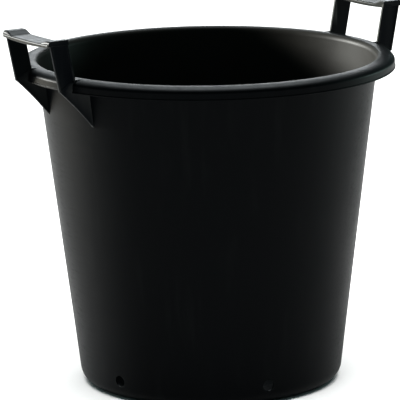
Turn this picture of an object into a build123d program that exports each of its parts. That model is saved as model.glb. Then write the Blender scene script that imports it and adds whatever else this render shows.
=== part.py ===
from build123d import *
import math
import os

# A black 50 litre nursery and florist's tub with two raised lifting handles.
# Millimetres. +Z is up, the tub stands on Z = 0 and its axis is the Z axis.
# The handles stand at -X (left) and +X (right).
# The tub is one thin-walled moulding. Each handle is a second moulding that hooks into the open
# underside of the tub's rim, and whose two brackets bear on the wall below it.

# ---- Driving dimensions -------------------------------------------------------------------

RIM_RADIUS = 245.0            # outermost radius, at the bead along the rim's lower edge
RIM_HEIGHT = 430.0            # floor to the top of the rim
WALL_TOP_RADIUS = 222.8       # outside of the wall, where it would reach RIM_HEIGHT
WALL_BASE_RADIUS = 169.8      # outside of the wall, where it would reach the floor
WALL = 2.5                    # wall and rim thickness
FLOOR = 3.0                   # thickness of the base

# Rim: rolled over from the mouth, elliptical on both sides of its crest, then a short upright
# skirt; open underneath
RIM_DROP = 16.5               # top of the rim to the skirt's lower edge
RIM_CREST_RADIUS = 226.5      # radius of the ring along the top of the rim
RIM_SHOULDER_DROP = 8.0       # crest down to where the outside turns upright
RIM_MOUTH_DROP = 9.0          # crest down to where the inside meets the wall
RIM_CEILING_RADIUS = 4.2      # between the wall and the rim's underside
RIM_BEAD = 0.7                # how far the bead stands out from the skirt
RIM_BEAD_HEIGHT = 2.2

# Base
BASE_CORNER = 20.5            # outside radius between base and wall
PANEL_RAISE = 6.0             # the middle of the base is lifted clear of the ground
PANEL_RADIUS = 118.0
STANDING_RING_INNER = 130.0   # inner edge of the ring that the tub stands on
PANEL_EDGE_RADIUS = 4.0

# Drain holes, low in the wall: two on each side, the same again half a turn round
HOLE_DIAMETER = 15.0
HOLE_HEIGHT = 26.0
HOLE_AZIMUTHS = (-76.0, -7.9)  # degrees from -Y, positive towards +X

# Handles, described for the one at +X: u is outwards along X, v is across it along Y
HANDLE_TOP = 478.5            # upper face of the grip beside its end caps
POST_GAP = 104.0              # clear width between the two posts
POST_WIDTH = 26.2             # width of a post, outwards
POST_THICKNESS = 3.0
POST_FOOT_U = 233.1           # a post's inner edge, level with the top of the rim
POST_LEAN = 11.5              # degrees, outwards from vertical
POST_RIB_WIDTH = 2.4          # stiffening rib along both edges of a post
POST_RIB_PROUD = 0.9
BRACKET_THICKNESS = 4.4
BRACKET_CORNER_DROP = 13.0    # rim top to the bracket's outer corner
BRACKET_TIP_DROP = 64.5       # rim top to the point where the bracket runs out on the wall
BRACKET_SAG = 1.4             # how far the bracket's lower edge bows inwards
COLLAR_BULGE = 1.2            # how far the bracket's upper edge bows out round the rim

GRIP_INNER_U = 242.6
GRIP_OUTER_U = 273.0
GRIP_THICKNESS = 2.8
GRIP_DIP = 1.0                # the grip is a saddle, lower in the middle
FLANGE_THICKNESS = 2.8        # both long edges of the grip are rolled down
FLANGE_DEPTH_END = 4.2
FLANGE_DEPTH_MIDDLE = 5.4
GRIP_EDGE_RADIUS = 2.0
CAP_RAISE = 4.0               # end caps stand above the grip
CAP_LENGTH = 7.0
CAP_RAMP = 18.0               # length of the slope from the grip up to a cap
CAP_BLEND_RADIUS = 12.0       # rounding at the top of that slope
CAP_OVERHANG = 1.4            # past the ribs on a post's outer face
CAP_INSET = 1.0               # the grip's outer flange stands this far out past the caps
CAP_NOSE_RADIUS = 4.0         # rounding at a cap's outer end
CAP_EDGE_RADIUS = 1.0

SEAT_CLEARANCE = 0.1          # between a handle and the faces of the tub that it bears on

# Hook: a curved bar joining the two brackets inside the rim
HOOK_INNER_RADIUS = 228.5
HOOK_CLEARANCE = 0.4          # between the hook and the skirt
HOOK_LIFT = 0.5               # its lower edge stays this far above the skirt's
HOOK_SHOULDER = 7.0

# ---- Worked out from the above ------------------------------------------------------------

SKIRT_RADIUS = RIM_RADIUS - RIM_BEAD
LIP_Z = RIM_HEIGHT - RIM_DROP
CEILING_Z = RIM_HEIGHT - WALL   # underside of the rim, next to the wall
SHOULDER_Z = RIM_HEIGHT - RIM_SHOULDER_DROP
MOUTH_Z = RIM_HEIGHT - RIM_MOUTH_DROP
TAPER = (WALL_TOP_RADIUS - WALL_BASE_RADIUS) / RIM_HEIGHT
WALL_ACROSS = WALL * math.hypot(1.0, TAPER)   # wall thickness measured horizontally
POST_INNER_V = POST_GAP / 2
POST_OUTER_V = POST_INNER_V + POST_THICKNESS
LEAN_TANGENT = math.tan(math.radians(POST_LEAN))


def wall_radius(z):
    """Outside radius of the wall at height z."""
    return WALL_BASE_RADIUS + TAPER * z


def cavity_radius(z):
    """Inside radius of the wall at height z."""
    return wall_radius(z) - WALL_ACROSS


def post_u(z, offset=0.0):
    """Position along u of a post's inner edge at height z, plus an offset outwards."""
    return POST_FOOT_U + (z - RIM_HEIGHT) * LEAN_TANGENT + offset


def corner_at(face, u, z):
    """The vertex of a face on the XZ plane that lies nearest to (u, z)."""
    return face.vertices().sort_by_distance(Vector(u, 0, z))[0]


def profile(*points):
    """A closed straight-sided face on the XZ plane."""
    return make_face(Plane.XZ * Polyline(*points, close=True))


def turned(face):
    """A face on the XZ plane turned once round the Z axis."""
    return revolve(face, axis=Axis.Z, revolution_arc=360)


# ---- Tub ----------------------------------------------------------------------------------

def rim_outside(offset):
    """The rim from its crest out and down to the upright skirt, moved outwards by an offset.
    A negative offset gives its underside."""
    centre = (RIM_CREST_RADIUS, SHOULDER_Z)
    across = SKIRT_RADIUS - RIM_CREST_RADIUS + offset
    return EllipticalCenterArc(centre, across, RIM_SHOULDER_DROP + offset, arc_size=90)


def unhollowed_tub(gap=0.0):
    """The tub before it is hollowed: solid within its wall, with the finished rim round it.
    A gap makes every outside face stand that much further out."""
    base = (WALL_BASE_RADIUS + gap, 0)
    ceiling = (wall_radius(CEILING_Z) + gap, CEILING_Z - gap)
    upper = rim_outside(gap)
    under = rim_outside(-WALL - gap)
    outline = Curve() + [
        Polyline((0, 0), base, ceiling, under @ 1),
        under,
        Polyline(
            under @ 0,
            (SKIRT_RADIUS - WALL - gap, LIP_Z - gap),
            (RIM_RADIUS + gap, LIP_Z - gap),
            (RIM_RADIUS + gap, LIP_Z + RIM_BEAD_HEIGHT - RIM_BEAD),
            (SKIRT_RADIUS + gap, LIP_Z + RIM_BEAD_HEIGHT),
            upper @ 0,
        ),
        upper,
        Polyline(upper @ 1, (0, RIM_HEIGHT + gap), (0, 0)),
    ]
    face = make_face(Plane.XZ * outline)
    face = fillet(corner_at(face, *base), BASE_CORNER)
    face = fillet(corner_at(face, *ceiling), RIM_CEILING_RADIUS)
    return turned(face)


def tub_cavity():
    """The space inside the tub, opening out over the rim at its mouth.
    Its floor follows the base, down over the standing ring."""
    above = RIM_HEIGHT + 10
    panel = (PANEL_RADIUS, PANEL_RAISE + FLOOR)
    ring = (STANDING_RING_INNER, FLOOR)
    corner = (cavity_radius(FLOOR), FLOOR)
    across = RIM_CREST_RADIUS - cavity_radius(MOUTH_Z)
    centre = (RIM_CREST_RADIUS, MOUTH_Z)
    mouth = EllipticalCenterArc(centre, across, RIM_MOUTH_DROP, start_angle=90, arc_size=90)
    outline = Curve() + [
        Polyline((0, PANEL_RAISE + FLOOR), panel, ring, corner, mouth @ 1),
        mouth,
        Polyline(mouth @ 0, (RIM_CREST_RADIUS, above), (0, above), (0, PANEL_RAISE + FLOOR)),
    ]
    face = make_face(Plane.XZ * outline)
    face = fillet(corner_at(face, *panel), PANEL_EDGE_RADIUS)
    face = fillet(corner_at(face, *ring), PANEL_EDGE_RADIUS)
    face = fillet(corner_at(face, *corner), BASE_CORNER - WALL)
    return turned(face)


def base_recess():
    """The shallow hollow under the raised middle of the base."""
    panel = (PANEL_RADIUS, PANEL_RAISE)
    ring = (STANDING_RING_INNER, 0)
    beyond = STANDING_RING_INNER + 8
    face = profile((0, -1), (beyond, -1), (beyond, 0), ring, panel, (0, PANEL_RAISE))
    face = fillet(corner_at(face, *panel), PANEL_EDGE_RADIUS)
    face = fillet(corner_at(face, *ring), PANEL_EDGE_RADIUS)
    return turned(face)


def drain_holes():
    """Round cutters through the wall, square to its slope."""
    slope = math.degrees(math.atan(TAPER))
    cutters = []
    for half_turn in (0, 180):
        for azimuth in HOLE_AZIMUTHS:
            cutter = Rot(0, 90 + slope, 0) * Cylinder(HOLE_DIAMETER / 2, 30)
            cutter = Pos(wall_radius(HOLE_HEIGHT), 0, HOLE_HEIGHT) * cutter
            cutters.append(Rot(0, 0, azimuth - 90 + half_turn) * cutter)
    return cutters


def make_tub():
    """Wall, base and rim in one moulding."""
    shell = unhollowed_tub() - tub_cavity() - base_recess()
    for cutter in drain_holes():
        shell -= cutter
    return shell


# ---- Handle, at +X ------------------------------------------------------------------------

def upright(face, v_inner, v_outer):
    """A face on the XZ plane given a thickness along v, on the +Y side, and again on the other."""
    plate = Pos(0, v_inner, 0) * extrude(face, amount=v_outer - v_inner, dir=(0, 1, 0))
    return plate + mirror(plate, about=Plane.XZ)


def strip(start, width):
    """A leaning strip on the XZ plane, from the bracket's corner up into the grip."""
    foot = RIM_HEIGHT - BRACKET_CORNER_DROP
    top = HANDLE_TOP - GRIP_DIP
    return profile(
        (post_u(foot, start), foot),
        (post_u(foot, start + width), foot),
        (post_u(top, start + width), top),
        (post_u(top, start), top),
    )


def posts():
    """Two leaning posts, with a rib on the outer face along each edge."""
    ribs_v = POST_OUTER_V + POST_RIB_PROUD
    plates = upright(strip(0, POST_WIDTH), POST_INNER_V, POST_OUTER_V)
    inner_ribs = upright(strip(0, POST_RIB_WIDTH), POST_INNER_V, ribs_v)
    outer_ribs = upright(strip(POST_WIDTH - POST_RIB_WIDTH, POST_RIB_WIDTH), POST_INNER_V, ribs_v)
    return plates + inner_ribs + outer_ribs


def bowed(start, end, bow):
    """An arc from start to end whose middle stands off the straight line by bow, to its left."""
    along = Vector(end[0] - start[0], end[1] - start[1])
    middle = Vector((start[0] + end[0]) / 2, (start[1] + end[1]) / 2)
    middle += Vector(-along.Y, along.X).normalized() * bow
    return ThreePointArc(start, (middle.X, middle.Y), end)


def brackets():
    """Two brackets, from the rim's shoulder round the skirt and down to a tip on the wall."""
    collar = (post_u(RIM_HEIGHT), RIM_HEIGHT)
    corner_z = RIM_HEIGHT - BRACKET_CORNER_DROP
    corner = (post_u(corner_z, POST_WIDTH), corner_z)
    tip_z = RIM_HEIGHT - BRACKET_TIP_DROP
    tip = (math.sqrt(wall_radius(tip_z) ** 2 - POST_INNER_V ** 2), tip_z)
    inside = (tip[0] - 15, tip_z)
    under_rim = (tip[0] - 15, CEILING_Z)
    outline = Curve() + [
        bowed(collar, corner, COLLAR_BULGE),
        bowed(corner, tip, -BRACKET_SAG),
        Polyline(tip, inside, under_rim, (RIM_CREST_RADIUS, CEILING_Z), collar),
    ]
    thicker = (BRACKET_THICKNESS - POST_THICKNESS) / 2
    face = make_face(Plane.XZ * outline)
    return upright(face, POST_INNER_V - thicker, POST_OUTER_V + thicker)


def saddle(u_start, u_end, top, depth_end, depth_middle, half_length):
    """A strip along v that dips in the middle, between two values of u."""
    low = top - GRIP_DIP
    outline = Curve() + [
        ThreePointArc((-half_length, top), (0, low), (half_length, top)),
        Line((half_length, top), (half_length, top - depth_end)),
        ThreePointArc(
            (half_length, top - depth_end),
            (0, low - depth_middle),
            (-half_length, top - depth_end),
        ),
        Line((-half_length, top - depth_end), (-half_length, top)),
    ]
    face = make_face(Plane.YZ * outline)
    return Pos(u_start, 0, 0) * extrude(face, amount=u_end - u_start, dir=(1, 0, 0))


def grip():
    """The saddle-shaped grip: a plate with both of its long edges rolled down."""
    end_v = POST_OUTER_V

    def flange(u_start):
        return saddle(
            u_start,
            u_start + FLANGE_THICKNESS,
            HANDLE_TOP,
            FLANGE_DEPTH_END,
            FLANGE_DEPTH_MIDDLE,
            end_v,
        )

    plate = saddle(GRIP_INNER_U, GRIP_OUTER_U, HANDLE_TOP, GRIP_THICKNESS, GRIP_THICKNESS, end_v)
    body = plate + flange(GRIP_INNER_U) + flange(GRIP_OUTER_U - FLANGE_THICKNESS)
    long_edges = body.edges().filter_by(GeomType.CIRCLE).sort_by(Axis.Z)[-2:]
    return fillet(long_edges, GRIP_EDGE_RADIUS)


def grip_caps():
    """The raised cap at each end of the grip, over the top of its post, sloping down to the grip."""
    outer_v = POST_OUTER_V + POST_RIB_PROUD + CAP_OVERHANG
    inner_v = outer_v - CAP_LENGTH
    foot_v = inner_v - CAP_RAMP
    top = HANDLE_TOP + CAP_RAISE
    under = HANDLE_TOP - GRIP_THICKNESS
    outer_u = GRIP_OUTER_U - CAP_INSET

    along = make_face(Plane.YZ * Polyline(
        (foot_v, HANDLE_TOP - GRIP_DIP),
        (inner_v, top),
        (outer_v, top),
        (outer_v, under),
        (foot_v, under),
        close=True,
    ))
    brow = along.vertices().sort_by_distance(Vector(0, inner_v, top))[0]
    along = fillet(brow, CAP_BLEND_RADIUS)
    along = extrude(along, amount=GRIP_OUTER_U, dir=(1, 0, 0))

    across = profile((GRIP_INNER_U, under), (outer_u, under), (outer_u, top), (GRIP_INNER_U, top))
    across = fillet(corner_at(across, outer_u, top), CAP_NOSE_RADIUS)
    across = fillet(corner_at(across, GRIP_INNER_U, top), CAP_EDGE_RADIUS)
    across = extrude(across, amount=outer_v, dir=(0, 1, 0))

    cap = along & across
    end = cap.faces().sort_by(Axis.Y)[-1]
    cap = fillet(end.edges().sort_by(Axis.Z)[1:], CAP_EDGE_RADIUS / 2)
    return cap + mirror(cap, about=Plane.XZ)


def hook_bar():
    """The bar inside the rim, from one bracket to the other, made a little too tall for it."""
    outer = SKIRT_RADIUS - WALL - HOOK_CLEARANCE
    top = CEILING_Z + WALL / 2
    face = profile(
        (HOOK_INNER_RADIUS, LIP_Z + HOOK_LIFT),
        (outer, LIP_Z + HOOK_LIFT),
        (outer, top),
        (HOOK_INNER_RADIUS, top),
    )
    face = fillet(corner_at(face, outer, top), HOOK_SHOULDER)
    half_length = POST_INNER_V + POST_THICKNESS / 2
    reach = Pos(RIM_RADIUS, 0, LIP_Z) * Box(100, 2 * half_length, 100)
    return turned(face) & reach


def make_handle():
    """One handle moulding, cut back to the faces of the tub that it bears on."""
    body = posts() + brackets() + hook_bar() - unhollowed_tub(SEAT_CLEARANCE)
    return body + grip() + grip_caps()


# ---- Nodes --------------------------------------------------------------------------------

def main():
    os.makedirs("parts", exist_ok=True)
    handle = make_handle()
    nodes = {
        "tub": make_tub(),
        "left_handle": Rot(0, 0, 180) * handle,
        "right_handle": handle,
    }
    for name, solid in nodes.items():
        export_step(solid, f"parts/{name}.step")
        print(name, len(solid.solids()), "solid", round(solid.volume), "mm3")


main()
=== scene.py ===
import math

import bmesh
import bpy
from mathutils import Matrix, Vector


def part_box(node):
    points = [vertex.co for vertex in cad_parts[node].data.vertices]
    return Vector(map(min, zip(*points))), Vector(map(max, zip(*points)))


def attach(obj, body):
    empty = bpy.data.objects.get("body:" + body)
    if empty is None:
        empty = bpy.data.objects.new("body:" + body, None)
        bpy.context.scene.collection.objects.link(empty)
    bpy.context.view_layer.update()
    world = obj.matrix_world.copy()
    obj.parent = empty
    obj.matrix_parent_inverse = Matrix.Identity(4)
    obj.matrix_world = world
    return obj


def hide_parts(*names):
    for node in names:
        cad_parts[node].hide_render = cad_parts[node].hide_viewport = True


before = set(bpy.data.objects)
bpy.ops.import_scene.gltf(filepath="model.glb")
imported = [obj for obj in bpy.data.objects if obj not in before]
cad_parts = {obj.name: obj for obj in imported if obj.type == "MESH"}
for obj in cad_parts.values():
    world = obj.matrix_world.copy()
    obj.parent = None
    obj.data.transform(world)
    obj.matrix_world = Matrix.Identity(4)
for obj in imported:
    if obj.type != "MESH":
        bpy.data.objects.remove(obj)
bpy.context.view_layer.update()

# A black nursery and florist's tub with two clip-on lifting handles.
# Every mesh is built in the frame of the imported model, in metres. Lengths in this script are in
# millimetres, and mm() turns them into metres where a mesh is made.

# ---- Dimensions, in millimetres -----------------------------------------------------------

RIM_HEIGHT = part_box("tub")[1].z * 1000
RIM_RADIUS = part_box("tub")[1].x * 1000
WALL_TOP_RADIUS = 222.8       # outside of the wall, where it would reach RIM_HEIGHT
WALL_BASE_RADIUS = 169.8      # outside of the wall, where it would reach the floor
WALL = 2.5                    # thickness of the wall and of the rim
FLOOR = 3.0                   # thickness of the base
TAPER = (WALL_TOP_RADIUS - WALL_BASE_RADIUS) / RIM_HEIGHT

RIM_DROP = 16.5               # from the rim's crest down to its lip
RIM_CREST_RADIUS = 226.5
RIM_SHOULDER_DROP = 8.0       # height of the ellipse from the crest out to the skirt
RIM_MOUTH_DROP = 9.0          # height of the ellipse from the crest in to the wall
RIM_ROOT_RADIUS = 3.8         # rounding where the rim's underside meets the wall
RIM_BEAD = 0.7                # how far the lip's bead stands out from the skirt
RIM_BEAD_HEIGHT = 2.2
LIP_ROUNDING = 0.5
BEAD_ROUNDING = 0.35
LIP_Z = RIM_HEIGHT - RIM_DROP
SKIRT_RADIUS = RIM_RADIUS - RIM_BEAD

BASE_CORNER = 20.5
PANEL_RAISE = 6.0
PANEL_RADIUS = 118.0
PANEL_ROUNDING = 4.0
STANDING_RING_INNER = 130.0
GATE_RADIUS = 7.0             # the moulding gate's mark, a shallow dish in the middle of the floor
GATE_DEPTH = 0.8
GATE_SLOPE = 2.0              # width of the dish's sloping side
GATE_EDGE_ROUNDING = 0.6
GATE_FOOT_ROUNDING = 1.5

HOLE_DIAMETER = 15.0
HOLE_HEIGHT = 26.0
HOLE_AZIMUTHS = (-76.0, -7.9)  # degrees from -Y, and the same again half a turn round
HOLE_ROUNDING = 0.4
HOLE_CUTTER_LENGTH = 20.0

HANDLE_TOP = 478.5
POST_GAP = 104.0
POST_WIDTH = 26.2
POST_THICKNESS = 3.0
POST_FOOT_U = 233.1
POST_LEAN = 11.5
POST_ROUNDING = 0.7
POST_SINK = 1.0               # how far a post's foot runs down past its bracket's corner
POST_TOP_DROP = 1.2           # how far a post stops short of the grip's top, inside the grip
POST_RIB_WIDTH = 2.4
POST_RIB_PROUD = 0.9
POST_RIB_SLOPE = 0.6
POST_RIB_ROUNDING = 0.9
POST_RIB_FOOT_ROUNDING = 0.4
BRACKET_THICKNESS = 4.4
BRACKET_CORNER_DROP = 13.0
BRACKET_TIP_DROP = 64.5
BRACKET_SAG = 1.4
BRACKET_CORNER_RADIUS = 1.0
BRACKET_EDGE_ROUNDING = 0.9
BRACKET_BITE = 1.0            # how far a bracket's tip reaches into the wall, where the seat trims it
BRACKET_REACH = 12.0          # how far its outline runs in past the tip, for the same trim
COLLAR_BULGE = 1.2
GRIP_INNER_U = 242.6
GRIP_OUTER_U = 273.0
GRIP_THICKNESS = 2.8
GRIP_DIP = 1.0
FLANGE_THICKNESS = 2.8
FLANGE_DEPTH_END = 4.2
FLANGE_DEPTH_MIDDLE = 5.4
FLANGE_ROUNDING = 1.0
GRIP_EDGE_RADIUS = 2.0
GRIP_CORNER_ROUNDING = 0.6    # between the grip's underside and its flanges
GRIP_END_INSET = 0.3          # how far the grip's ends stop short of the posts' outer faces
CAP_RAISE = 4.0
CAP_LENGTH = 7.0              # the level part of the cap, along the grip
CAP_RAMP = 18.0               # the slope from the cap down to the grip
CAP_OVERHANG = 1.4
CAP_INSET = 1.0
CAP_SINK = 0.1                # how far the cap reaches down past the grip's underside
CAP_SIDE_INSET = 0.05
CAP_NOSE_RADIUS = 4.0
CAP_INNER_ROUNDING = 1.2
CAP_FOOT_ROUNDING = 0.4
CAP_END_ROUNDING = 0.75
HOOK_INNER_RADIUS = 228.5
HOOK_CLEARANCE = 0.4
HOOK_LIFT = 0.5
HOOK_SHOULDER = 7.0
HOOK_ROUNDING = 0.8
HOOK_BITE = 1.0               # how far the hook reaches up into the rim, where the seat trims it
SEAT_CLEARANCE = 0.1
SEAT_BOTTOM = 20.0            # well below the lowest point of the handles

POST_INNER_V = POST_GAP / 2
POST_OUTER_V = POST_INNER_V + POST_THICKNESS
LEAN_TANGENT = math.tan(math.radians(POST_LEAN))

TURN_STEPS = 288              # steps round the tub
HOLE_STEPS = 48               # steps round a drain hole
LONGEST_RUN = 16.0            # longest straight edge up the tub's wall
SHARP_ANGLE = 40              # degrees, above which an edge is shaded as sharp
HOLE_EDGE_ANGLE = 60          # degrees, above which an edge at a drain hole is rounded


def mm(*values):
    """Millimetres to metres, as a vector."""
    return Vector(values) * 0.001


def wall_radius(z):
    """Outside radius of the wall at height z."""
    return WALL_BASE_RADIUS + TAPER * z


def cavity_radius(z):
    """Inside radius of the wall at height z."""
    return wall_radius(z) - WALL * math.hypot(1.0, TAPER)


def post_u(z, offset=0.0):
    """Distance out to a post's inner edge at height z, plus an offset."""
    return POST_FOOT_U + (z - RIM_HEIGHT) * LEAN_TANGENT + offset


# ---- Outlines -----------------------------------------------------------------------------

def round_corner(before, corner, after, radius, steps):
    """The points of an arc that rounds one corner of an outline."""
    here = Vector(corner)
    back = (Vector(before) - here).normalized()
    on = (Vector(after) - here).normalized()
    half = back.angle(on) / 2
    if radius <= 0 or half > math.radians(89.5):
        return [here]
    reach = radius / math.tan(half)
    centre = here + (back + on).normalized() * (radius / math.sin(half))
    start = here + back * reach - centre
    end = here + on * reach - centre
    sweep = start.angle_signed(end)
    points = []
    for i in range(steps + 1):
        turn = -sweep * i / steps
        points.append(centre + Matrix.Rotation(turn, 2) @ start)
    return points


def rounded(corners, closed=True, steps=6):
    """An outline through corners (x, y, radius), each one rounded to its own radius."""
    points = []
    count = len(corners)
    for i, (x, y, radius) in enumerate(corners):
        at_end = not closed and i in (0, count - 1)
        if at_end:
            points.append(Vector((x, y)))
            continue
        before = corners[i - 1][:2]
        after = corners[(i + 1) % count][:2]
        points.extend(round_corner(before, (x, y), after, radius, steps))
    return points


def ellipse_arc(centre, across, up, start, end, steps=12):
    """Outline corners along part of an ellipse. Angles in degrees, anticlockwise from +X."""
    corners = []
    for i in range(steps + 1):
        turn = math.radians(start + (end - start) * i / steps)
        corners.append((centre[0] + across * math.cos(turn), centre[1] + up * math.sin(turn), 0))
    return corners


def bowed(start, end, bow, steps=14):
    """Points between start and end on a shallow curve that stands off the straight line by bow."""
    start = Vector(start)
    end = Vector(end)
    along = end - start
    side = Vector((-along.y, along.x)).normalized()
    points = []
    for i in range(1, steps):
        t = i / steps
        points.append(start + along * t + side * bow * 4 * t * (1 - t))
    return points


def inset(outline, distance):
    """A closed anticlockwise outline with every point moved inwards by distance."""
    moved = []
    count = len(outline)
    for i, point in enumerate(outline):
        back = (point - outline[i - 1]).normalized()
        on = (outline[(i + 1) % count] - point).normalized()
        along = (back + on).normalized()
        normal = Vector((-along.y, along.x))
        moved.append(point + normal * distance / max(0.5, along.dot(back)))
    return moved


# ---- Meshes -------------------------------------------------------------------------------

def object_from(bm, name):
    """A new object from a bmesh, with its faces turned outwards."""
    bmesh.ops.remove_doubles(bm, verts=bm.verts, dist=1e-7)
    bmesh.ops.recalc_face_normals(bm, faces=bm.faces)
    mesh = bpy.data.meshes.new(name)
    bm.to_mesh(mesh)
    bm.free()
    piece = bpy.data.objects.new(name, mesh)
    bpy.context.scene.collection.objects.link(piece)
    return piece


def skin(bm, loops, wrap):
    """Quads between each loop of vertices and the next one."""
    pairs = list(zip(loops, loops[1:]))
    if wrap:
        pairs.append((loops[-1], loops[0]))
    for lower, upper in pairs:
        count = len(lower)
        for i in range(count):
            j = (i + 1) % count
            corners = [lower[i], lower[j], upper[j], upper[i]]
            distinct = list(dict.fromkeys(corners))
            if len(distinct) > 2:
                bm.faces.new(distinct)


def turned(outline, name, closed):
    """An outline of (radius, z) turned once round the Z axis.
    An open outline starts and ends on the axis."""
    bm = bmesh.new()
    loops = []
    for radius, z in outline:
        if radius < 1e-6:
            loops.append([bm.verts.new(mm(0, 0, z))] * TURN_STEPS)
            continue
        loop = []
        for i in range(TURN_STEPS):
            turn = 2 * math.pi * i / TURN_STEPS
            loop.append(bm.verts.new(mm(radius * math.cos(turn), radius * math.sin(turn), z)))
        loops.append(loop)
    skin(bm, loops, wrap=closed)
    return object_from(bm, name)


def lofted(sections, name):
    """A closed solid through a row of closed sections, each a list of points in millimetres."""
    bm = bmesh.new()
    loops = []
    for section in sections:
        loops.append([bm.verts.new(mm(*point)) for point in section])
    skin(bm, loops, wrap=False)
    bm.faces.new(loops[0])
    bm.faces.new(loops[-1])
    return object_from(bm, name)


def plate(outline, start, end, edge_radius, name, steps=4):
    """A plate with rounded edges: an outline of (u, z) given a thickness from v = start to end."""
    sections = []
    levels = []
    for i in range(steps + 1):
        turn = math.pi / 2 * i / steps
        drop = edge_radius * (1 - math.sin(turn))
        levels.append((start + edge_radius * (1 - math.cos(turn)), drop))
    for i in range(steps, -1, -1):
        turn = math.pi / 2 * i / steps
        drop = edge_radius * (1 - math.sin(turn))
        levels.append((end - edge_radius * (1 - math.cos(turn)), drop))
    for v, drop in levels:
        sections.append([(point.x, v, point.y) for point in inset(outline, drop)])
    return lofted(sections, name)


def combine(piece, others, operation):
    """Joins other closed solids to a piece, or cuts them away from it."""
    for other in others:
        modifier = piece.modifiers.new("combine", "BOOLEAN")
        modifier.operation = operation
        modifier.solver = "EXACT"
        modifier.object = other
    bpy.context.view_layer.update()
    depsgraph = bpy.context.evaluated_depsgraph_get()
    mesh = bpy.data.meshes.new_from_object(piece.evaluated_get(depsgraph))
    piece.modifiers.clear()
    piece.data = mesh
    for other in others:
        bpy.data.objects.remove(other)


def smooth(piece):
    """Smooth shading, with the large faces kept flat and the sharp edges kept sharp."""
    mesh = piece.data
    mesh.polygons.foreach_set("use_smooth", [True] * len(mesh.polygons))
    mesh.set_sharp_from_angle(angle=math.radians(SHARP_ANGLE))
    weighted = piece.modifiers.new("weighted normals", "WEIGHTED_NORMAL")
    weighted.keep_sharp = True
    weighted.weight = 100


def copy_turned(piece, name):
    """A copy of a piece, half a turn round the Z axis."""
    mesh = piece.data.copy()
    mesh.transform(Matrix.Rotation(math.pi, 4, "Z"))
    twin = bpy.data.objects.new(name, mesh)
    bpy.context.scene.collection.objects.link(twin)
    return twin


# ---- Tub ----------------------------------------------------------------------------------

def rim_corners(gap):
    """The rim's outside, from where its underside meets the wall round to its crest.
    A gap makes it stand that much further out on every side."""
    ceiling = RIM_HEIGHT - WALL
    centre = (RIM_CREST_RADIUS, RIM_HEIGHT - RIM_SHOULDER_DROP)
    across = SKIRT_RADIUS - RIM_CREST_RADIUS
    inward = WALL + gap
    return [
        (wall_radius(ceiling) + gap, ceiling - gap, RIM_ROOT_RADIUS),
        *ellipse_arc(centre, across - inward, RIM_SHOULDER_DROP - inward, 90, 0),
        (SKIRT_RADIUS - inward, LIP_Z - gap, LIP_ROUNDING),
        (RIM_RADIUS + gap, LIP_Z - gap, LIP_ROUNDING),
        (RIM_RADIUS + gap, LIP_Z + RIM_BEAD_HEIGHT - RIM_BEAD + gap, BEAD_ROUNDING),
        (SKIRT_RADIUS + gap, LIP_Z + RIM_BEAD_HEIGHT + gap, BEAD_ROUNDING),
        *ellipse_arc(centre, across + gap, RIM_SHOULDER_DROP + gap, 0, 90, steps=18),
    ]


def tub_section():
    """Half of the tub's section, from the axis round the outside and back to the axis inside."""
    floor_top = PANEL_RAISE + FLOOR
    mouth_z = RIM_HEIGHT - RIM_MOUTH_DROP
    mouth_across = RIM_CREST_RADIUS - cavity_radius(mouth_z)
    mouth = ellipse_arc((RIM_CREST_RADIUS, mouth_z), mouth_across, RIM_MOUTH_DROP, 90, 180)
    corners = [
        (0, PANEL_RAISE, 0),
        (PANEL_RADIUS, PANEL_RAISE, PANEL_ROUNDING),
        (STANDING_RING_INNER, 0, PANEL_ROUNDING),
        (WALL_BASE_RADIUS, 0, BASE_CORNER),
        *rim_corners(0),
        *mouth[1:],
        (cavity_radius(FLOOR), FLOOR, BASE_CORNER - WALL),
        (STANDING_RING_INNER, FLOOR, PANEL_ROUNDING),
        (PANEL_RADIUS, floor_top, PANEL_ROUNDING),
        (GATE_RADIUS, floor_top, GATE_EDGE_ROUNDING),
        (GATE_RADIUS - GATE_SLOPE, floor_top - GATE_DEPTH, GATE_FOOT_ROUNDING),
        (0, floor_top - GATE_DEPTH, 0),
    ]
    return rounded(corners, closed=False, steps=9)


def spaced(outline, longest):
    """The outline with points added on its long straight runs."""
    points = [outline[0]]
    for start, end in zip(outline, outline[1:]):
        pieces = max(1, math.ceil((end - start).length / longest))
        for i in range(1, pieces + 1):
            points.append(start.lerp(end, i / pieces))
    return points


def hole_cutters():
    """Round cutters through the wall at each drain hole, square to its slope."""
    cutters = []
    slope = math.atan(TAPER)
    for half_turn in (0, 180):
        for azimuth in HOLE_AZIMUTHS:
            turn = math.radians(azimuth - 90 + half_turn)
            place = Matrix.Rotation(turn, 4, "Z")
            place = place @ Matrix.Translation(mm(wall_radius(HOLE_HEIGHT), 0, HOLE_HEIGHT))
            place = place @ Matrix.Rotation(math.pi / 2 + slope, 4, "Y")
            bm = bmesh.new()
            radius = HOLE_DIAMETER / 2000
            bmesh.ops.create_cone(
                bm,
                cap_ends=True,
                segments=HOLE_STEPS,
                radius1=radius,
                radius2=radius,
                depth=HOLE_CUTTER_LENGTH / 1000,
                matrix=place,
            )
            cutters.append(object_from(bm, "cutter"))
    return cutters


def soften_holes(piece, width):
    """A small rounding on the edges of the drain holes."""
    bm = bmesh.new()
    bm.from_mesh(piece.data)
    low = (HOLE_HEIGHT - HOLE_DIAMETER) / 1000
    high = (HOLE_HEIGHT + HOLE_DIAMETER) / 1000
    edges = []
    for edge in bm.edges:
        heights = [vert.co.z for vert in edge.verts]
        if min(heights) > low and max(heights) < high and len(edge.link_faces) == 2:
            if edge.calc_face_angle() > math.radians(HOLE_EDGE_ANGLE):
                edges.append(edge)
    bmesh.ops.bevel(bm, geom=edges, offset=width / 1000, segments=2, affect="EDGES", profile=0.5)
    bm.to_mesh(piece.data)
    bm.free()


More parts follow.
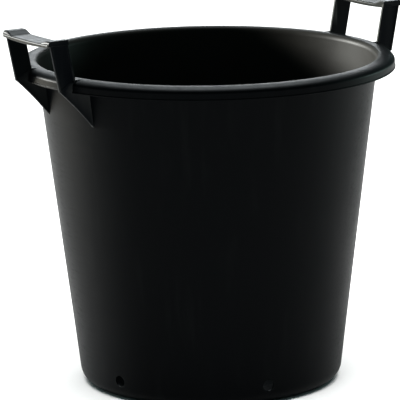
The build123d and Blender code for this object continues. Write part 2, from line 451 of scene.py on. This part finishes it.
def make_tub():
    """The tub: one turned shell with its drain holes."""
    piece = turned(spaced(tub_section(), LONGEST_RUN), "tub_shell", closed=False)
    combine(piece, hole_cutters(), "DIFFERENCE")
    soften_holes(piece, HOLE_ROUNDING)
    smooth(piece)
    return piece


# ---- Handle, at +X ------------------------------------------------------------------------

def make_post(side):
    """One leaning post: a plate with a rib along each edge of its outer face."""
    rib_v = POST_OUTER_V + POST_RIB_PROUD
    slope_end = POST_RIB_WIDTH + POST_RIB_SLOPE
    corners = [
        (0, POST_INNER_V, POST_ROUNDING),
        (POST_WIDTH, POST_INNER_V, POST_ROUNDING),
        (POST_WIDTH, rib_v, POST_RIB_ROUNDING),
        (POST_WIDTH - POST_RIB_WIDTH, rib_v, POST_RIB_FOOT_ROUNDING),
        (POST_WIDTH - slope_end, POST_OUTER_V, POST_RIB_FOOT_ROUNDING),
        (slope_end, POST_OUTER_V, POST_RIB_FOOT_ROUNDING),
        (POST_RIB_WIDTH, rib_v, POST_RIB_FOOT_ROUNDING),
        (0, rib_v, POST_RIB_ROUNDING),
    ]
    section = rounded(corners, steps=4)
    foot = RIM_HEIGHT - BRACKET_CORNER_DROP - POST_SINK
    top = HANDLE_TOP - POST_TOP_DROP
    sections = []
    for z in (foot, top):
        sections.append([(post_u(z, point.x), side * point.y, z) for point in section])
    return lofted(sections, "post")


def make_bracket(side):
    """One bracket, from the rim's shoulder round the skirt and down to a tip on the wall."""
    corner_z = RIM_HEIGHT - BRACKET_CORNER_DROP
    collar = (post_u(RIM_HEIGHT), RIM_HEIGHT)
    corner = (post_u(corner_z, POST_WIDTH), corner_z)
    tip_z = RIM_HEIGHT - BRACKET_TIP_DROP
    tip = (math.sqrt(wall_radius(tip_z) ** 2 - POST_INNER_V ** 2) - BRACKET_BITE, tip_z)
    inner = tip[0] - BRACKET_REACH
    outline = [Vector((inner, tip_z)), Vector(tip)]
    outline += bowed(tip, corner, BRACKET_SAG)
    outline += round_corner(tip, corner, collar, BRACKET_CORNER_RADIUS, 4)
    outline += bowed(corner, collar, -COLLAR_BULGE)
    outline += [Vector(collar), Vector((inner, RIM_HEIGHT))]
    thicker = (BRACKET_THICKNESS - POST_THICKNESS) / 2
    ends = sorted((side * (POST_INNER_V - thicker), side * (POST_OUTER_V + thicker)))
    return plate(outline, *ends, BRACKET_EDGE_ROUNDING, "bracket")


def make_grip():
    """The saddle-shaped grip, with both of its long edges rolled down."""
    stations = 33
    sections = []
    for i in range(stations):
        along = -1 + 2 * i / (stations - 1)
        middle = 1 - along ** 2
        top = HANDLE_TOP - GRIP_DIP * middle
        under = top - GRIP_THICKNESS
        low = top - FLANGE_DEPTH_END - (FLANGE_DEPTH_MIDDLE - FLANGE_DEPTH_END) * middle
        corners = [
            (GRIP_INNER_U, low, FLANGE_ROUNDING),
            (GRIP_INNER_U + FLANGE_THICKNESS, low, FLANGE_ROUNDING),
            (GRIP_INNER_U + FLANGE_THICKNESS, under, GRIP_CORNER_ROUNDING),
            (GRIP_OUTER_U - FLANGE_THICKNESS, under, GRIP_CORNER_ROUNDING),
            (GRIP_OUTER_U - FLANGE_THICKNESS, low, FLANGE_ROUNDING),
            (GRIP_OUTER_U, low, FLANGE_ROUNDING),
            (GRIP_OUTER_U, top, GRIP_EDGE_RADIUS),
            (GRIP_INNER_U, top, GRIP_EDGE_RADIUS),
        ]
        section = rounded(corners, steps=5)
        v = along * (POST_OUTER_V - GRIP_END_INSET)
        sections.append([(point.x, v, point.y) for point in section])
    return lofted(sections, "grip")


def cap_section(v, top, drop):
    """The cap's outline across the grip at one place along it, moved inwards by drop."""
    inner_u = GRIP_INNER_U + CAP_SIDE_INSET
    outer_u = GRIP_OUTER_U - CAP_INSET
    under = HANDLE_TOP - GRIP_THICKNESS - CAP_SINK
    nose = min(CAP_NOSE_RADIUS, (top - under) * 0.6)  # less where the slope is thin
    corners = [
        (inner_u, under, CAP_FOOT_ROUNDING),
        (outer_u, under, CAP_FOOT_ROUNDING),
        (outer_u, top, nose),
        (inner_u, top, CAP_INNER_ROUNDING),
    ]
    return [(point.x, v, point.y) for point in inset(rounded(corners, steps=6), drop)]


def make_cap(side):
    """The raised cap at one end of the grip, with the slope that runs down from it to the grip."""
    outer_v = POST_OUTER_V + POST_RIB_PROUD + CAP_OVERHANG
    inner_v = outer_v - CAP_LENGTH
    foot = HANDLE_TOP - GRIP_DIP
    edge = CAP_END_ROUNDING
    sections = []
    ramp_steps = 16
    for i in range(ramp_steps):
        along = i / ramp_steps
        rise = along * along * (3 - 2 * along)
        top = foot + (CAP_RAISE + GRIP_DIP) * rise
        sections.append(cap_section(side * (inner_v - CAP_RAMP * (1 - along)), top, 0))
    end_steps = 4
    for i in range(end_steps + 1):
        turn = math.pi / 2 * i / end_steps
        v = outer_v - edge * (1 - math.sin(turn))
        sections.append(cap_section(side * v, HANDLE_TOP + CAP_RAISE, edge * (1 - math.cos(turn))))
    return lofted(sections, "cap")


def make_hook():
    """The curved bar that joins the two brackets inside the rim."""
    outer = SKIRT_RADIUS - WALL - HOOK_CLEARANCE
    low = LIP_Z + HOOK_LIFT
    top = RIM_HEIGHT - WALL + HOOK_BITE
    corners = [
        (HOOK_INNER_RADIUS, low, HOOK_ROUNDING),
        (outer, low, HOOK_ROUNDING),
        (outer, top, HOOK_SHOULDER),
        (HOOK_INNER_RADIUS, top, HOOK_ROUNDING),
    ]
    section = rounded(corners, steps=6)
    half_angle = math.asin((POST_INNER_V + POST_THICKNESS / 2) / outer)
    steps = 24
    sections = []
    for i in range(steps + 1):
        turn = half_angle * (2 * i / steps - 1)
        ring = []
        for point in section:
            ring.append((point.x * math.cos(turn), point.x * math.sin(turn), point.y))
        sections.append(ring)
    return lofted(sections, "hook")


def seat():
    """The room that the tub takes up, with the small gap that a clipped-on handle has round it."""
    gap = SEAT_CLEARANCE
    corners = [
        (0, SEAT_BOTTOM, 0),
        (wall_radius(SEAT_BOTTOM) + gap, SEAT_BOTTOM, 0),
        *rim_corners(gap),
        (0, RIM_HEIGHT + gap, 0),
    ]
    return turned(rounded(corners, closed=False, steps=9), "seat", closed=False)


def make_handle():
    """One handle: posts, brackets, hook bar, grip and end caps in one moulding."""
    body = make_bracket(1)
    others = [make_bracket(-1), make_hook(), make_post(1), make_post(-1)]
    combine(body, others, "UNION")
    combine(body, [seat()], "DIFFERENCE")
    combine(body, [make_grip(), make_cap(1), make_cap(-1)], "UNION")
    return body


# ---- Materials ----------------------------------------------------------------------------

PLASTIC_IOR = 1.49
PLASTIC_SPECULAR_LEVEL = 0.02  # low, so that the plastic stays as dark as in the photograph


def add(tree, kind, **inputs):
    """A shader node with the given input values."""
    node = tree.nodes.new(kind)
    for name, value in inputs.items():
        node.inputs[name.replace("_", " ")].default_value = value
    return node


def mapped(tree, source, low, high, to_low, to_high):
    """A value's range mapped to another one, and held inside it."""
    node = add(tree, "ShaderNodeMapRange")
    node.inputs["From Min"].default_value = low
    node.inputs["From Max"].default_value = high
    node.inputs["To Min"].default_value = to_low
    node.inputs["To Max"].default_value = to_high
    tree.links.new(source, node.inputs["Value"])
    return node.outputs["Result"]


def mixed(tree, factor, first, second):
    """A colour between two, by a factor. Either may be a colour or another node's output."""
    node = tree.nodes.new("ShaderNodeMix")
    node.data_type = "RGBA"
    tree.links.new(factor, node.inputs["Factor"])
    for socket, value in ((node.inputs[6], first), (node.inputs[7], second)):
        if isinstance(value, bpy.types.NodeSocket):
            tree.links.new(value, socket)
        else:
            socket.default_value = (*value, 1)
    return node.outputs[2]


def noise(tree, coordinates, scale, detail, roughness=0.5, stretch=(1, 1, 1)):
    """Noise at a scale in cells per metre, which may be stretched along an axis."""
    mapping = tree.nodes.new("ShaderNodeMapping")
    mapping.inputs["Scale"].default_value = stretch
    tree.links.new(coordinates, mapping.inputs["Vector"])
    node = add(tree, "ShaderNodeTexNoise", Scale=scale, Detail=detail, Roughness=roughness)
    tree.links.new(mapping.outputs["Vector"], node.inputs["Vector"])
    return node.outputs["Fac"]


def bumped(tree, height, distance, strength, normal=None):
    """A bump from a height, on top of another one."""
    node = add(tree, "ShaderNodeBump", Strength=strength, Distance=distance)
    tree.links.new(height, node.inputs["Height"])
    if normal is not None:
        tree.links.new(normal, node.inputs["Normal"])
    return node.outputs["Normal"]


def facing_axis(tree, geometry):
    """1 on surfaces that face the tub's axis, such as its inside, and 0 on those that face away."""
    flat = add(tree, "ShaderNodeVectorMath")
    flat.operation = "MULTIPLY"
    flat.inputs[1].default_value = (1, 1, 0)
    tree.links.new(geometry.outputs["Position"], flat.inputs[0])
    outward = add(tree, "ShaderNodeVectorMath")
    outward.operation = "DOT_PRODUCT"
    tree.links.new(flat.outputs["Vector"], outward.inputs[0])
    tree.links.new(geometry.outputs["Normal"], outward.inputs[1])
    return mapped(tree, outward.outputs["Value"], -0.15, 0, 1, 0)


def moulded_plastic(name, dark, cloudy, dust, inside_painted_light, wear_and_edge_highlight, gloss, grain_scale, grain_depth):
    """Black polypropylene: a faintly cloudy colour, a fine moulded grain, slow waves from the mould,
    hairline scuffs, paler edges that are partly wear and partly a painted highlight, a trace of
    dust on what faces up, and a paler colour painted on what faces the tub's axis, as painted light
    inside the tub. The gloss value is the mean roughness, so a lower one is shinier."""
    material = bpy.data.materials.new(name)
    material.use_nodes = True
    tree = material.node_tree
    shader = tree.nodes["Principled BSDF"]
    coordinates = tree.nodes.new("ShaderNodeTexCoord").outputs["Object"]
    geometry = tree.nodes.new("ShaderNodeNewGeometry")

    clouds = noise(tree, coordinates, 9, 5, 0.6)
    streaks = noise(tree, coordinates, 60, 3, 0.6, stretch=(1, 1, 0.06))
    scuffs = noise(tree, coordinates, 240, 2, 0.7, stretch=(1, 0.08, 1))
    grain = noise(tree, coordinates, grain_scale, 2)
    waves = noise(tree, coordinates, 14, 1, stretch=(1, 1, 0.5))

    colour = mixed(tree, mapped(tree, clouds, 0.35, 0.7, 0, 1), dark, cloudy)
    colour = mixed(tree, mapped(tree, streaks, 0.55, 0.8, 0, 0.5), colour, dust)
    facing_up = tree.nodes.new("ShaderNodeSeparateXYZ")
    tree.links.new(geometry.outputs["Normal"], facing_up.inputs["Vector"])
    settled = add(tree, "ShaderNodeMath")
    settled.operation = "MULTIPLY"
    tree.links.new(mapped(tree, facing_up.outputs["Z"], 0.5, 1, 0, 0.5), settled.inputs[0])
    tree.links.new(mapped(tree, scuffs, 0.3, 0.8, 0.2, 1), settled.inputs[1])
    colour = mixed(tree, settled.outputs["Value"], colour, dust)
    # Paler convex edges: partly wear, and partly a painted highlight along the edges.
    edges = mapped(tree, geometry.outputs["Pointiness"], 0.52, 0.6, 0, 0.6)
    colour = mixed(tree, edges, colour, wear_and_edge_highlight)
    # Painted light: surfaces that face the tub's axis get a paler colour, a painted stand-in for
    # light inside the tub.
    inside_painted_light_mask = add(tree, "ShaderNodeMath")
    inside_painted_light_mask.operation = "MULTIPLY"
    tree.links.new(facing_axis(tree, geometry), inside_painted_light_mask.inputs[0])
    tree.links.new(mapped(tree, clouds, 0.3, 0.7, 0.6, 1), inside_painted_light_mask.inputs[1])
    colour = mixed(tree, inside_painted_light_mask.outputs["Value"], colour, inside_painted_light)
    tree.links.new(colour, shader.inputs["Base Color"])

    rough = add(tree, "ShaderNodeMath")
    rough.operation = "ADD"
    tree.links.new(mapped(tree, clouds, 0.3, 0.7, gloss - 0.05, gloss + 0.05), rough.inputs[0])
    tree.links.new(mapped(tree, scuffs, 0.5, 0.8, 0, 0.10), rough.inputs[1])
    tree.links.new(rough.outputs["Value"], shader.inputs["Roughness"])

    normal = bumped(tree, waves, 0.0012, 0.25)
    normal = bumped(tree, scuffs, 0.00004, 0.4, normal)
    normal = bumped(tree, grain, grain_depth, 0.6, normal)
    tree.links.new(normal, shader.inputs["Normal"])
    shader.inputs["Specular IOR Level"].default_value = PLASTIC_SPECULAR_LEVEL
    shader.inputs["IOR"].default_value = PLASTIC_IOR
    return material


def give(piece, material):
    """A material on a piece, as its only material."""
    piece.data.materials.clear()
    piece.data.materials.append(material)


# ---- The object ---------------------------------------------------------------------------

tub = make_tub()
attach(tub, "root")
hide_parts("tub")

right_handle = make_handle()
right_handle.name = "right_handle_moulding"
left_handle = copy_turned(right_handle, "left_handle_moulding")
for handle, node in ((left_handle, "left_handle"), (right_handle, "right_handle")):
    smooth(handle)
    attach(handle, "root")
    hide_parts(node)

tub_plastic = moulded_plastic(
    "tub polypropylene",
    dark=(0.0008, 0.0011, 0.0014),
    cloudy=(0.0010, 0.0014, 0.0017),
    dust=(0.0030, 0.0036, 0.0038),
    # a paler colour painted on the tub's inside, as painted light
    inside_painted_light=(0.012, 0.0115, 0.0100),
    wear_and_edge_highlight=(0.010, 0.012, 0.012),
    gloss=0.42,
    grain_scale=1400,
    grain_depth=0.00003,
)
handle_plastic = moulded_plastic(
    "handle polypropylene",
    dark=(0.0012, 0.0018, 0.0026),
    cloudy=(0.0018, 0.0026, 0.0034),
    dust=(0.008, 0.009, 0.009),
    # a paler colour painted on the handle's faces towards the axis, as painted light
    inside_painted_light=(0.003, 0.004, 0.003),
    # paler edges, partly wear and partly a painted highlight along the handle's edges
    wear_and_edge_highlight=(0.050, 0.052, 0.050),
    gloss=0.40,
    grain_scale=1800,
    grain_depth=0.00004,
)
give(tub, tub_plastic)
give(left_handle, handle_plastic)
give(right_handle, handle_plastic)


# ---- Floor, light and camera --------------------------------------------------------------

FLOOR_HALF_WIDTH = 15         # metres
FLOOR_TONES = ((0.90, 0.90, 0.89), (0.93, 0.93, 0.93))


def make_floor():
    """A plain pale studio floor."""
    bm = bmesh.new()
    bmesh.ops.create_grid(bm, x_segments=8, y_segments=8, size=FLOOR_HALF_WIDTH)
    floor = object_from(bm, "floor")
    material = bpy.data.materials.new("pale floor")
    material.use_nodes = True
    tree = material.node_tree
    shader = tree.nodes["Principled BSDF"]
    coordinates = tree.nodes.new("ShaderNodeTexCoord").outputs["Object"]
    tone = mapped(tree, noise(tree, coordinates, 3, 3), 0.3, 0.7, 0, 1)
    colour = mixed(tree, tone, *FLOOR_TONES)
    tree.links.new(colour, shader.inputs["Base Color"])
    shader.inputs["Roughness"].default_value = 0.9
    shader.inputs["Specular IOR Level"].default_value = 0.0
    floor.data.materials.append(material)
    return floor


def turned_by(azimuth, distance, height):
    """A place given by its azimuth, in degrees from the camera's side and positive to its right,
    its distance from the tub's axis and its height, in metres."""
    turn = math.radians(CAMERA_AZIMUTH + azimuth)
    return Vector((distance * math.sin(turn), -distance * math.cos(turn), height))


def lit_group(name, members):
    """A collection that a light can be kept to."""
    group = bpy.data.collections.new(name)
    for member in members:
        group.objects.link(member)
    return group


def area_light(name, lights, azimuth, distance, height, size, power, colour, target=(0, 0, 0.35)):
    """A soft rectangular light on one group of things, facing a target. Size is width and height."""
    data = bpy.data.lights.new(name, "AREA")
    data.shape = "RECTANGLE"
    data.size, data.size_y = size
    data.energy = power
    data.color = colour
    light = bpy.data.objects.new(name, data)
    light.location = turned_by(azimuth, distance, height)
    light.rotation_euler = (Vector(target) - light.location).to_track_quat("-Z", "Y").to_euler()
    light.light_linking.receiver_collection = lights
    bpy.context.scene.collection.objects.link(light)


CAMERA_AZIMUTH = -33.02       # degrees from -Y, positive towards +X
CAMERA_DISTANCE = 4.8006      # metres from the tub's axis
CAMERA_HEIGHT = 1.2628        # metres
CAMERA_YAW = -0.00243         # radians, off the tub's axis
CAMERA_PITCH = 0.21057        # radians, downwards
CAMERA_ROLL = -0.0146         # radians
CAMERA_SENSOR = 36            # millimetres
CAMERA_LENS = 337.095         # millimetres, on that sensor


def make_camera():
    """A long lens a little above the rim, in front and to the left."""
    data = bpy.data.cameras.new("camera")
    data.sensor_width = CAMERA_SENSOR
    data.lens = CAMERA_LENS
    data.clip_end = 60
    camera = bpy.data.objects.new("camera", data)
    heading = math.radians(CAMERA_AZIMUTH) - CAMERA_YAW
    place = Matrix.Translation(turned_by(0, CAMERA_DISTANCE, CAMERA_HEIGHT))
    place = place @ Matrix.Rotation(heading, 4, "Z")
    place = place @ Matrix.Rotation(math.pi / 2 - CAMERA_PITCH, 4, "X")
    camera.matrix_world = place @ Matrix.Rotation(CAMERA_ROLL, 4, "Z")
    bpy.context.scene.collection.objects.link(camera)
    bpy.context.scene.camera = camera


def make_world(colour, strength):
    """Plain even light from all round."""
    world = bpy.data.worlds.new("studio")
    world.use_nodes = True
    background = world.node_tree.nodes["Background"]
    background.inputs["Color"].default_value = (*colour, 1)
    background.inputs["Strength"].default_value = strength
    bpy.context.scene.world = world


floor = make_floor()
make_world((0.66, 0.98, 1), 0.17)
on_floor = lit_group("lit floor", [floor])
on_tub = lit_group("lit tub", [tub, left_handle, right_handle])

# name, what it lights, azimuth, distance, height, (width, height), power in watts, colour
area_light("floor_light", on_floor, 0, 0, 6.0, (7, 7), 1150, (1, 0.99, 0.985), target=(0, 0.01, 0))
area_light("left_window", on_tub, -121, 2.8, 1.02, (1.3, 0.5), 640, (0.98, 0.985, 0.94))
area_light("back", on_tub, 180, 3.0, 1.3, (1.4, 0.5), 32, (0.93, 0.97, 1))
area_light("overhead", on_tub, 180, 1.6, 2.7, (1.6, 0.8), 150, (0.90, 0.97, 1))
area_light("right_side", on_tub, 118, 2.8, 0.6, (1.0, 0.8), 38, (0.68, 1, 0.92))
area_light("low_left", on_tub, -112, 2.6, 0.10, (1.0, 0.25), 28, (1, 0.92, 0.72))

make_camera()
bpy.context.scene.view_settings.view_transform = "Standard"
